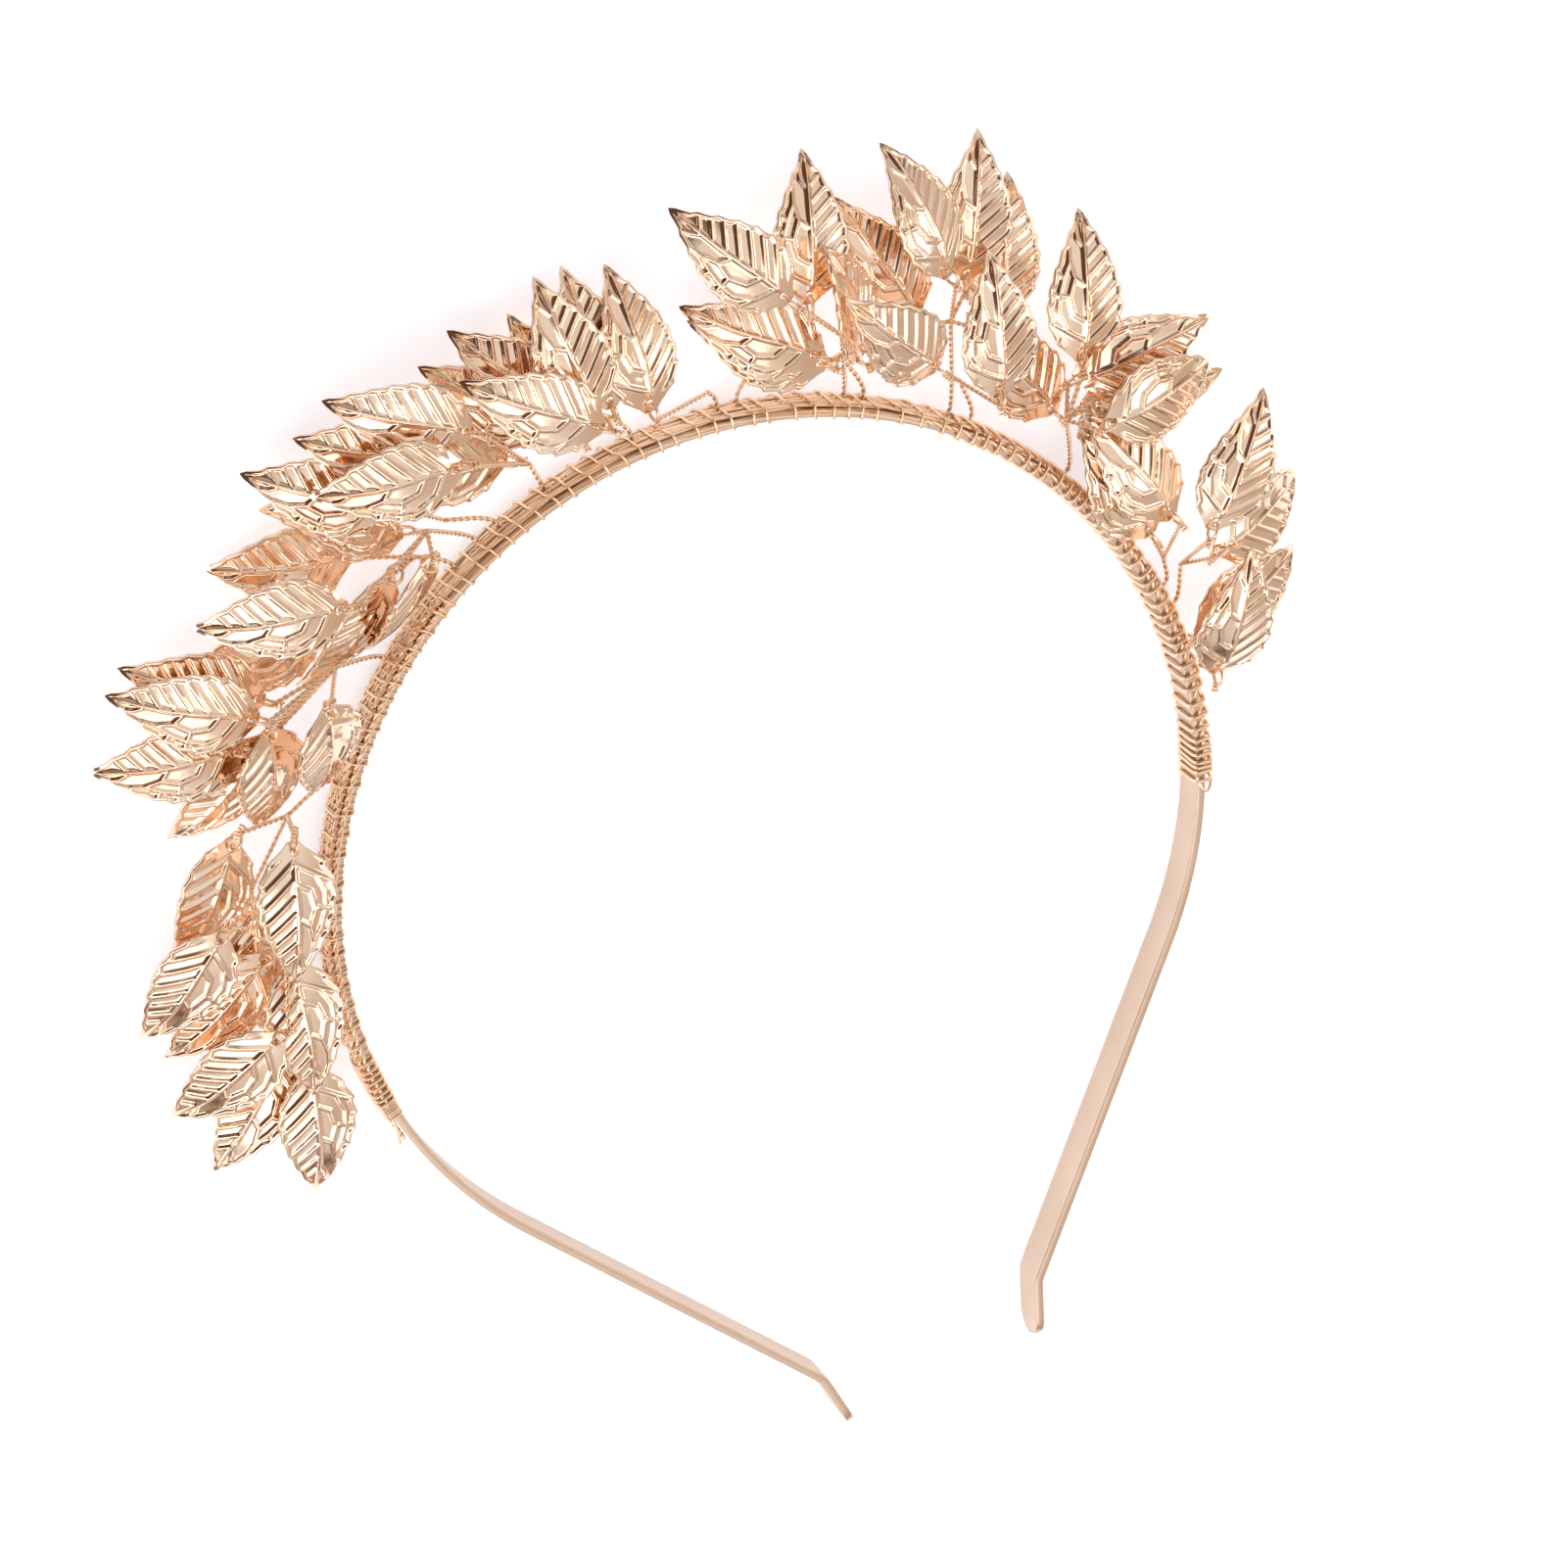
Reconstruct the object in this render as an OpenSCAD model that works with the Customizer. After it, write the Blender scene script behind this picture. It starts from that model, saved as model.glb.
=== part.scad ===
// Leaf crown: a springy metal headband whose arch is bound with fine wire and carries
// nine sprays of stamped metal leaves on twisted wire stems. It lies on its side:
// X runs from the wearer's right to left, Y from the ear ends to the top, Z is up.
// Every azimuth is clockwise from the top of the arch, seen from above.

/* [Headband] */
// inner radius of the arch over the crown of the head, mm
arch_radius = 62; // [60:0.5:64]
// how far the arch runs on each side of the top, degrees
arch_sweep = 74; // [74:0.5:76]
// inner radius of the shoulders below the arch, mm
shoulder_radius = 59.5; // [58:0.5:61]
// how far each shoulder turns, degrees
shoulder_sweep = 42; // [40:1:44]
// inner radius of the bend above each leg, mm
hip_radius = 66; // [60:1:72]
// how far that bend turns, degrees
hip_sweep = 12; // [10:1:14]
// length of the straight leg, mm
leg_length = 51.5; // [45:0.5:56]
// how far each ear end is kinked outward, degrees
kink_angle = 24; // [18:1:30]
// inner radius of the kink, mm
kink_radius = 4; // [3:0.5:6]
// length of the kinked ear end, mm
ear_length = 8.5; // [7:0.5:12]
// width of the flat band, mm
band_width = 6; // [5.5:0.5:7]
// thickness of the flat band, mm
band_thickness = 1.2; // [1:0.1:1.5]

/* [Wire] */
// radius of a twisted pair of stem wire, mm
stem_radius = 0.42; // [0.35:0.01:0.45]
// radius of the wire of the loop that holds a leaf, mm
loop_wire_radius = 0.25; // [0.2:0.01:0.28]
// radius of that loop, mm
loop_radius = 1.2; // [1.15:0.05:1.3]
// thickness of the wire binding round the arch, mm
binding_thickness = 0.3; // [0.25:0.05:0.4]
// where the binding ends on the left, degrees
binding_left = 103; // [100:1:106]
// where the binding ends on the right, degrees
binding_right = 107; // [104:1:110]
// space left between pieces that touch on the real crown, mm
gap = 0.1; // [0.1:0.02:0.14]

/* [Leaf] */
// length of a leaf from its base to its tip, mm
leaf_length = 20.5; // [19:0.5:21]
// greatest width of a leaf, mm
leaf_width = 10.8; // [10:0.2:11.4]
// thickness of the leaf sheet, mm
leaf_thickness = 0.3; // [0.25:0.05:0.35]
// radius of the ball that the leaf is domed over, mm
dome_radius = 25; // [22:1:32]
// teeth on each side of the rim
teeth = 8; // [6:1:10]
// depth of a tooth, mm
tooth_depth = 0.45; // [0.3:0.05:0.6]
// radius of the hole that the wire loop goes through, mm
hole_radius = 0.5; // [0.45:0.05:0.55]
// distance from the base of the leaf to the middle of that hole, mm
hole_setback = 1.2; // [1.15:0.05:1.25]
// height of the raised veins, mm
vein_height = 0.3; // [0.2:0.05:0.4]
// width of the midrib at its foot, mm
midrib_width = 0.7; // [0.6:0.05:0.8]
// width of a side vein at its foot, mm
vein_width = 0.5; // [0.4:0.05:0.6]
// distance from the middle of the midrib to the start of a side vein, mm
vein_gap = 1.2; // [1.2:0.1:1.4]
// each side vein: how far up the midrib it starts, mm, its angle to the midrib
// (to the right is positive), degrees, and how far it runs from there, mm
side_veins = [[1.5, 52, 4.6], [4, 52, 5.2], [6.5, 52, 4.8], [9, 50, 4.2],
    [11.5, 48, 3.2], [1.5, -34, 7], [6, -30, 7]];

/* [Sprays] */
// each stem: where it leaves the band and where its tail under the binding ends
// (azimuths, degrees), then the fork: azimuth in degrees, radius and height in mm
stems_a = [[-56.5, -53.5, -61, 70, 4], [-90.5, -107.5, -87, 70, 3.5], [-66, -69, -72, 70.5, 8.5]];
stems_b = [[-40.5, -37.5, -43, 72.5, 8.5]];
stems_c = [[-23, -25, -26, 73.5, 9], [-27, -30, -29, 69.5, 3.5]];
stems_d = [[-13, -10, -13, 68.5, 4], [-20, -17, -24, 70, 3.5]];
stems_e = [[-1, 2, -3, 69, 4], [10, 7, 9, 67, 4]];
stems_f = [[28.5, 31.5, 24.5, 70, 4], [12.5, 15.5, 15, 68.5, 2.5],
    [26, 23, 22.5, 74.5, 10]];
stems_g = [[43, 46, 39.5, 69, 4], [40, 37, 35, 77, 7]];
stems_h = [[58, 55, 51.5, 70.5, 9], [79, 76, 75.5, 66.5, 4]];
stems_i = [[82, 84.5, 77, 68, 5], [87, 89, 88, 66, 6], [91.5, 94.5, 92, 66.5, 5]];
// each leaf: azimuth in degrees, radius and height in mm of its base; turn of its
// tip from straight outward, pitch of its tip and roll, degrees; number of its stem
leaves_a = [
    [-64, 78, 7, 75, -10, -15, 0],
    [-62.5, 71.5, 13, 100, -4, 0, 0],
    [-72, 80.5, 12, 60, -22, 0, 2],
    [-76.5, 73.5, 7.5, 45, -16, 0, 2],
    [-71.5, 73.5, 3.5, 97, -4, 0, 0],
    [-77.5, 69.5, 9, 93, -4, 0, 2],
    [-84, 74.5, 11.5, 33, -25, 0, 2],
    [-89, 72.5, 4, 45, -10, 15, 1],
    [-91.5, 70, 6.5, 75, -13, 0, 1]];
leaves_b = [
    [-50, 82, 12, 10, -12, 0, 0],
    [-54, 81.5, 9.5, 22, -8, 0, 0],
    [-53, 77, 7, 70, -18, -15, 0],
    [-49, 80, 7, 5, -5, 0, 0],
    [-46.5, 74, 16.5, 120, -38, -25, 0],
    [-51, 79, 13.3, 115, -32, -20, 0]];
leaves_c = [
    [-33.5, 77, 2.8, 38, -3, 0, 1],
    [-37, 79, 14.5, 40, -11, 0, 0],
    [-29, 71.5, 12, 113, -37, -50, 0],
    [-32.5, 72.5, 8, 93, -14.5, -38, 0],
    [-41, 75, 2.6, 48, -1, 0, 1],
    [-28, 74.5, 4.2, 30, 0, 42, 0]];
leaves_d = [
    [-27, 80.5, 9, 30, -13, 0, 1],
    [-20.5, 80.5, 10.5, 40, -9, 0, 0],
    [-17, 82, 12.5, 40, -10, 0, 0],
    [-20, 80, 15, 60, -8, 0, 0],
    [-15.5, 71, 3.5, 56, -4, -15, 0]];
leaves_e = [
    [1, 70.5, 9.7, -2, -15, 12, 1],
    [-2.5, 72, 7, -2, -8, 0, 0],
    [-5.5, 74.5, 12, -2, -9, 0, 0],
    [-7, 74.5, 8.5, 30, -12, 0, 0],
    [-9.5, 73, 6.5, 35, -8, 0, 0],
    [-6, 73, 14.4, 45, -10, 0, 0],
    [-6.5, 68.5, 2.5, 5, 0, 0, 0]];
leaves_f = [
    [15.5, 81.5, 13, 48, -15, 0, 2],
    [19, 80, 9.5, 0, -14, 0, 2],
    [20, 71.5, 8.5, 70, -12, 0, 0],
    [22, 69, 5, 73, -8, 0, 0],
    [25.5, 72, 9.2, 33, 14, 40, 0]];
leaves_g = [
    [35, 84, 7.3, 12, -5, -5, 1],
    [40, 79, 5, 15, -7, 0, 1],
    [41, 71, 12.5, 28, -5, 0, 0],
    [31.5, 85, 12, 40, -12, 25, 1],
    [31, 77.5, 6.5, 47, -8, 0, 1],
    [32.5, 72, 13, 65, 12, 0, 0]];
leaves_h = [
    [49, 79.5, 9, 29, -14, 0, 0],
    [51.5, 76.5, 6.5, -34, 3, -8, 0],
    [55.5, 73.5, 3.5, -41, 3, 0, 0],
    [54, 74, 14.5, -36, -22, 0, 0],
    [68, 70, 11, 90, -8, 12, 1],
    [69.5, 66.5, 7.8, 86, 2, 0, 1],
    [54.3, 74, 8.5, -97, -24, 40, 0],
    [52, 70.5, 2.5, 75, -1, 0, 0]];
leaves_i = [
    [71, 73.5, 15, 30, -8, 0, 0],
    [75.5, 73, 11.5, -9, -32, 0, 0],
    [84.5, 66, 9, 5, -20, 0, 1],
    [89.5, 66, 10, 65, 12, 0, 2]];

/* [Hidden] */
metal = "#dfae78";
bright = "#efc795";
wire = "#c9884f";
round_sides = 6;
// the arch's middle stands this far from the middle of the whole crown
frame_x = 1.45;
frame_y = -3.25;
// the band is held off the table by the binding below it
band_lift = binding_thickness + gap;
band_middle = band_lift + band_width / 2;
// distance of a stem's tail outside the band's inner face
tail_offset = band_thickness + gap + stem_radius;
binding_depth = band_thickness + 2 * stem_radius + 2 * gap;

// a point at an azimuth and radius about the arch's middle
function polar(azimuth, radius, height) =
    [radius * sin(azimuth), radius * cos(azimuth), height];
// the middle and inner radius of the stretch of band that an azimuth falls on
function stretch_middle(azimuth) = abs(azimuth) <= arch_sweep ? [0, 0, 0]
    : sign(azimuth) * (arch_radius - shoulder_radius)
        * [sin(arch_sweep), sign(azimuth) * cos(arch_sweep), 0];
function stretch_radius(azimuth) =
    abs(azimuth) <= arch_sweep ? arch_radius : shoulder_radius;
function band_point(azimuth, offset, height) = stretch_middle(azimuth)
    + polar(azimuth, stretch_radius(azimuth) + offset, height);
function all_stems() = concat(stems_a, stems_b, stems_c, stems_d, stems_e, stems_f,
    stems_g, stems_h, stems_i);
// the way a leaf points, counter-clockwise from +Y
function heading(row) = row[3] - row[0];
// a point on a leaf's own long axis, y mm from its hole
function on_leaf(row, y) = polar(row[0], row[1], row[2])
    + y * [-sin(heading(row)) * cos(row[4]), cos(heading(row)) * cos(row[4]), sin(row[4])];

// a straight round wire with rounded ends
module rod(start, end, radius)
    hull()
        for (p = [start, end])
            translate(p)
                sphere(r = radius, $fn = round_sides);

// the band's inner face from the top of the arch to one ear end: each station is a
// point and the azimuth that the face looks away from
hip_start = arch_sweep + shoulder_sweep;
leg_heading = hip_start + hip_sweep;
ear_heading = leg_heading - kink_angle;
shoulder_middle = (arch_radius - shoulder_radius) * outward(arch_sweep);
hip_middle = shoulder_middle + (shoulder_radius - hip_radius) * outward(hip_start);
leg_end = hip_middle + hip_radius * outward(leg_heading)
    + leg_length * onward(leg_heading);
kink_middle = leg_end + kink_radius * outward(leg_heading);
ear_end = kink_middle - kink_radius * outward(ear_heading)
    + ear_length * onward(ear_heading);
function outward(azimuth) = [sin(azimuth), cos(azimuth)];
function onward(azimuth) = [cos(azimuth), -sin(azimuth)];
function bend(middle, radius, from, to, step) =
    [for (azimuth = [from : step : to]) [middle + radius * outward(azimuth), azimuth]];
stations = concat(
    bend([0, 0], arch_radius, 0, arch_sweep - 1, 2),
    bend(shoulder_middle, shoulder_radius, arch_sweep, hip_start - 1, 2),
    bend(hip_middle, hip_radius, hip_start, leg_heading, 2),
    bend(kink_middle, -kink_radius, leg_heading, ear_heading, -4),
    [[ear_end, ear_heading]]);
// one face of the band, as far outside its inner face as the offset says
function face(offset) = [for (s = stations) s[0] + offset * outward(s[1])];
// the same list on the other side, without the point on the middle line
function mirrored(list) = [for (i = [1 : len(list) - 1]) [-list[i].x, list[i].y]];

// takes the corners off one ear end, so that it is round
module ear_corners()
    translate(ear_end)
        rotate([0, 0, -ear_heading])
            translate([-band_width / 2, 0, band_width / 2])
                rotate([90, 0, 0])
                    difference() {
                        translate([0, -band_width, -2 * band_thickness])
                            cube([band_width, 2 * band_width, 4 * band_thickness]);
                        cylinder(h = 6 * band_thickness, d = band_width, center = true,
                            $fn = 96);
                    }

// the flat springy band with both legs
module band()
    color(bright)
        translate([frame_x, frame_y, band_lift])
            difference() {
                linear_extrude(height = band_width)
                    polygon(concat(face(band_thickness), reversed(face(0)),
                        mirrored(face(0)), reversed(mirrored(face(band_thickness)))));
                ear_corners();
                mirror([1, 0, 0])
                    ear_corners();
            }

// the bound stretch of the band, between two offsets from the band's inner face
module bound_stretch(inner, outer, height, extra) {
    from = -binding_left - extra;
    to = binding_right + extra;
    azimuths = [for (i = [0 : 105]) from + i * (to - from) / 105];
    linear_extrude(height = height)
        polygon(concat([for (v = azimuths) flat(band_point(v, outer, 0))],
            reversed([for (v = azimuths) flat(band_point(v, inner, 0))])));
}
function flat(p) = [p.x, p.y];

// the close wire binding round the arch, with a way out for every stem
module binding()
    color(wire)
        translate([frame_x, frame_y, 0])
            difference() {
                bound_stretch(-gap - binding_thickness, binding_depth + binding_thickness,
                    band_width + 2 * band_lift, 0);
                translate([0, 0, binding_thickness])
                    bound_stretch(-gap, binding_depth, band_width + 2 * gap, 1);
                for (row = all_stems())
                    translate(band_point(row[0], tail_offset, band_middle))
                        rotate([0, 90, 90 - row[0]])
                            cylinder(h = 3, r = stem_radius + gap, $fn = 24);
            }

// the wire stems of one spray: tail, fork and a loop through each leaf
module spray_wire(stems, leaves)
    color(wire)
        translate([frame_x, frame_y, 0]) {
            for (row = stems) {
                from = min(row[0], row[1]);
                to = max(row[0], row[1]);
                middle = stretch_middle(row[0]);
                root = band_point(row[0], tail_offset, band_middle);
                bend = band_point(row[0], tail_offset + 2, band_middle);
                fork = polar(row[2], row[3], row[4]);
                translate([middle.x, middle.y, band_middle])
                    rotate([0, 0, 90 - to])
                        rotate_extrude(angle = to - from, $fn = 360)
                            translate([stretch_radius(row[0]) + tail_offset, 0])
                                circle(r = stem_radius, $fn = round_sides);
                rod(root, bend, stem_radius);
                rod(bend, fork, stem_radius);
            }
            for (row = leaves) {
                stem = stems[row[6]];
                rod(polar(stem[2], stem[3], stem[4]), on_leaf(row, -2 * loop_radius),
                    stem_radius);
                place(row)
                    translate([0, -loop_radius, 0])
                        rotate([0, 90, 0])
                            rotate_extrude($fn = 10)
                                translate([loop_radius, 0])
                                    circle(r = loop_wire_radius, $fn = 5);
            }
        }

// puts a child drawn with its hole at the origin and its tip along +Y in its place
module place(row)
    translate(polar(row[0], row[1], row[2]))
        rotate([0, 0, heading(row)])
            rotate([row[4], 0, 0])
                rotate([0, row[5], 0])
                    children();

// half the leaf's width at a share of its length
function half_width(share) = leaf_width / 2 * sin(180 * pow(share, 0.68));
// one side of the toothed rim, from base to tip
function rim(side) = [for (i = [0 : teeth - 1], part = [0, 1])
    let (share = (i + 0.35 + 0.75 * part) / (teeth + 0.4))
    [side * (half_width(share) + tooth_depth * (part - 0.5) * (1 - 0.6 * share)),
        share * leaf_length - hole_setback]];
function reversed(list) = [for (i = [len(list) - 1 : -1 : 0]) list[i]];

// a raised vein: a ring round the dome's middle, from one angle to another
module vein(from, to, width)
    rotate([0, -90, 0])
        rotate([0, 0, from])
            rotate_extrude(angle = to - from, $fn = 180)
                polygon([[dome_radius - 0.12, -width / 2],
                    [dome_radius + vein_height, 0],
                    [dome_radius - 0.12, width / 2]]);

// one stamped leaf, domed both ways, with its hole at the origin
module leaf_blade() {
    span = leaf_length - hole_setback;
    drop = sqrt(dome_radius * dome_radius - span * span / 4);
    half_turn = asin(span / 2 / dome_radius);
    to_degrees = 180 / PI / dome_radius;
    outline = concat([[0.8, -hole_setback]], rim(1),
        [[0, leaf_length - hole_setback]], reversed(rim(-1)), [[-0.8, -hole_setback]]);
    difference() {
        union() {
            intersection() {
                translate([0, span / 2, -drop])
                    rotate([90, 0, 0])
                        difference() {
                            sphere(r = dome_radius, $fn = 120);
                            sphere(r = dome_radius - leaf_thickness, $fn = 120);
                        }
                translate([0, 0, -3])
                    linear_extrude(height = 8)
                        polygon(outline);
            }
            translate([0, span / 2, -drop]) {
                vein(-half_turn + 3, half_turn - 2, midrib_width);
                for (v = side_veins)
                    rotate([half_turn - v[0] * to_degrees, 0, 0])
                        rotate([0, 0, -v[1]])
                            vein(vein_gap * to_degrees, v[2] * to_degrees, vein_width);
            }
        }
        translate([0, 0, -2])
            cylinder(h = 4, r = hole_radius, $fn = 16);
    }
}

// every leaf of one spray
module spray_leaves(leaves)
    color(metal)
        translate([frame_x, frame_y, 0])
            for (row = leaves)
                place(row)
                    leaf_blade();

band();
binding();
spray_wire(stems_a, leaves_a);  // stem_a
spray_wire(stems_b, leaves_b);  // stem_b
spray_wire(stems_c, leaves_c);  // stem_c
spray_wire(stems_d, leaves_d);  // stem_d
spray_wire(stems_e, leaves_e);  // stem_e
spray_wire(stems_f, leaves_f);  // stem_f
spray_wire(stems_g, leaves_g);  // stem_g
spray_wire(stems_h, leaves_h);  // stem_h
spray_wire(stems_i, leaves_i);  // stem_i
spray_leaves(leaves_a);
spray_leaves(leaves_b);
spray_leaves(leaves_c);
spray_leaves(leaves_d);
spray_leaves(leaves_e);
spray_leaves(leaves_f);
spray_leaves(leaves_g);
spray_leaves(leaves_h);
spray_leaves(leaves_i);
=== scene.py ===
import math
import bpy
import numpy as np
from mathutils import Matrix, Vector


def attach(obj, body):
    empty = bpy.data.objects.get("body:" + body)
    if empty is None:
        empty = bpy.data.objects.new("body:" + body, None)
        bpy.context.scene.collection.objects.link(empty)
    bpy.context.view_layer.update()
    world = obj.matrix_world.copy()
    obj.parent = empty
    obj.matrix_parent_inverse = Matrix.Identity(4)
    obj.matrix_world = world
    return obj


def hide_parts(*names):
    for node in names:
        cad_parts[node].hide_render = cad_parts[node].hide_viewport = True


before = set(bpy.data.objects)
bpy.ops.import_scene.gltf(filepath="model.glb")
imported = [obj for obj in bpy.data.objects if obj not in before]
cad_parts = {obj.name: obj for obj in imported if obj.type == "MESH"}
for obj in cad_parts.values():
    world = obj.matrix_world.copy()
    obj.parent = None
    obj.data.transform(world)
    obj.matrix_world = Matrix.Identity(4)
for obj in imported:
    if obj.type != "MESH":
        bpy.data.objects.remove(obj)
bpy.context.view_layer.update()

# The crown is drawn in millimetres and each piece is made in metres. The table, the
# lights and the camera are in metres. Azimuths are degrees clockwise from the top of the
# arch, seen from above; left and right are those of the picture.
MM = 0.001
# middle of the arch in the row's frame
ARCH_X, ARCH_Y = 1.45, -3.25

# the band, from the top of the arch down: inner radius and turn of each bend
ARCH_RADIUS, ARCH_SWEEP = 62.0, 74.0
SHOULDER_RADIUS, SHOULDER_SWEEP = 59.5, 42.0
HIP_RADIUS, HIP_SWEEP = 66.0, 12.0
LEG_LENGTH = 51.5
KINK_ANGLE, KINK_RADIUS = 24.0, 4.0
EAR_LENGTH = 8.5
BAND_WIDTH, BAND_THICKNESS = 6.0, 1.2
# height of its lower edge over the table
BAND_LIFT = 0.4
BAND_MIDDLE = BAND_LIFT + BAND_WIDTH / 2
BAND_TOP = BAND_LIFT + BAND_WIDTH
# radius of its edges, and half its width at the very tip of an ear end
BAND_EDGE, EAR_TIP_HALF = 0.22, 0.25

# where the binding ends on each side
BINDING_LEFT, BINDING_RIGHT = 103.0, 107.0
# sides of a thin wire and of a thicker one
THIN_SIDES, THICK_SIDES = 6, 7

# a stem: radius of each of its two strands, length of a full twist and step along it
STRAND_RADIUS = 0.18
STEM_PITCH = 1.9
STEM_STEP = 0.24
# its tail: how far out it lies on the band, how far the stem then stands out before it
# bends, and the points along it
TAIL_OFFSET, STEM_RISE, TAIL_POINTS = 1.72, 2, 8
# radians by which the twist of each leaf's own wires differs from that of the last
TWIST_SHIFT = 1.3
# the loop through a leaf's hole: its radius, that of its wire and the points round it
LOOP_RADIUS, LOOP_WIRE, LOOP_POINTS = 1.2, 0.24, 24
# the turns that close the loop: their number, radius and wire, how far the first lies
# from the loop's end, how far they run on, mm a radian, and the points along them
CLOSING_TURNS, CLOSING_RADIUS, CLOSING_WIRE = 3, 0.42, 0.15
CLOSING_START, CLOSING_RUN, CLOSING_POINTS = 0.35, 0.085, 50

# a leaf
LEAF_LENGTH, LEAF_WIDTH = 20.5, 10.8
LEAF_THICKNESS = 0.28
DOME_RADIUS = 25.0
HOLE_RADIUS, HOLE_SETBACK = 0.5, 1.2
# half its width at the base and at the tip; a power under 1 puts its widest place nearer
# the base
BASE_HALF, TIP_HALF = 0.8, 0.02
WIDEST_POWER = 0.68
# its teeth: number, depth and share of the depth lost towards the tip; then, counted in
# teeth, where the first starts, how far each runs out and what stays plain at the tip
TEETH, TOOTH_DEPTH, TOOTH_FADE = 8, 0.55, 0.5
TOOTH_START, TOOTH_RUN, TOOTH_REST = 0.35, 0.75, 0.4
# steps of the grid on its top; its underside has a quarter as many each way
ACROSS, ALONG, COARSE = 52, 104, 4
# quads whose middle lies within this share of the hole's radius are left out
HOLE_CLEAR = 0.93
# points nearer the hole than this are drawn onto its rim, on the top and underneath,
# apart from those right inside it; the rim's own points all lie within the last reach
FINE_REACH, COARSE_REACH = 0.62, 0.95
HOLE_CORE, RIM_REACH = 0.2, 0.8

# the pattern pressed into a leaf: height of its ridges over the cells, depth of the cells
# under the plain dome, and heights of the net and the midrib as shares of the rim's
RELIEF_HEIGHT, CELL_DEPTH = 0.35, 0.06
NET_SHARE, MIDRIB_SHARE = 0.95, 1.2
# half the width of a ridge of the net at its foot
RIDGE_HALF = 0.42
# shares of the length between which the pattern rises at the base and fades at the tip,
# and half widths of the leaf between which the net rises
BASE_RISE, TIP_FADE = (0.08, 0.13), (0.90, 0.98)
NET_RISE = (1.0, 2.0)
# the midrib: how far it sways, half waves along the leaf and half its width
MIDRIB_SWAY, MIDRIB_WAVES, MIDRIB_HALF = 0.3, 2.2, 0.30
# the rim: width of its flat top, and its slope as a share of a ridge's
RIM_TOP, RIM_SLOPE = 0.3, 0.9
# the ridges of the leaf's right half: their slope and the distance from one to the next
BAR_SLOPE = math.tan(math.radians(42))
BAR_PITCH = 2.2
# middle lines of the net on its left half: points across (share of the half width, from
# the midrib) and along (share of the length)
LEFT_NET = [
    [[0.0, 0.49], [0.38, 0.55], [0.64, 0.66], [0.95, 0.79]],
    [[0.05, 0.74], [0.45, 0.81], [0.95, 0.88]],
    [[0.0, 0.26], [0.34, 0.31], [0.48, 0.43], [0.38, 0.55]],
    [[0.48, 0.43], [0.98, 0.45]],
    [[0.64, 0.66], [0.72, 0.55], [0.76, 0.43], [0.74, 0.33], [0.58, 0.21]],
    [[0.72, 0.55], [0.98, 0.60]],
    [[0.05, 0.14], [0.40, 0.18], [0.58, 0.21], [0.95, 0.27]],
]

# each stem: where it leaves the band and where its tail under the binding ends
# (azimuths), then the fork: azimuth, radius and height
STEMS = {
    "a": [[-56.5, -53.5, -61, 70, 4], [-90.5, -107.5, -87, 70, 3.5],
          [-66, -69, -72, 70.5, 8.5]],
    "b": [[-40.5, -37.5, -43, 72.5, 8.5]],
    "c": [[-23, -25, -26, 73.5, 9], [-27, -30, -29, 69.5, 3.5]],
    "d": [[-13, -10, -13, 68.5, 4], [-20, -17, -24, 70, 3.5]],
    "e": [[-1, 2, -3, 69, 4], [10, 7, 9, 67, 4]],
    "f": [[28.5, 31.5, 24.5, 70, 4], [12.5, 15.5, 15, 68.5, 2.5],
          [26, 23, 22.5, 74.5, 10]],
    "g": [[43, 46, 39.5, 69, 4], [40, 37, 35, 77, 7]],
    "h": [[58, 55, 51.5, 70.5, 9], [79, 76, 75.5, 66.5, 4]],
    "i": [[82, 84.5, 77, 68, 5], [87, 89, 88, 66, 6], [91.5, 94.5, 92, 66.5, 5]],
}
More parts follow.
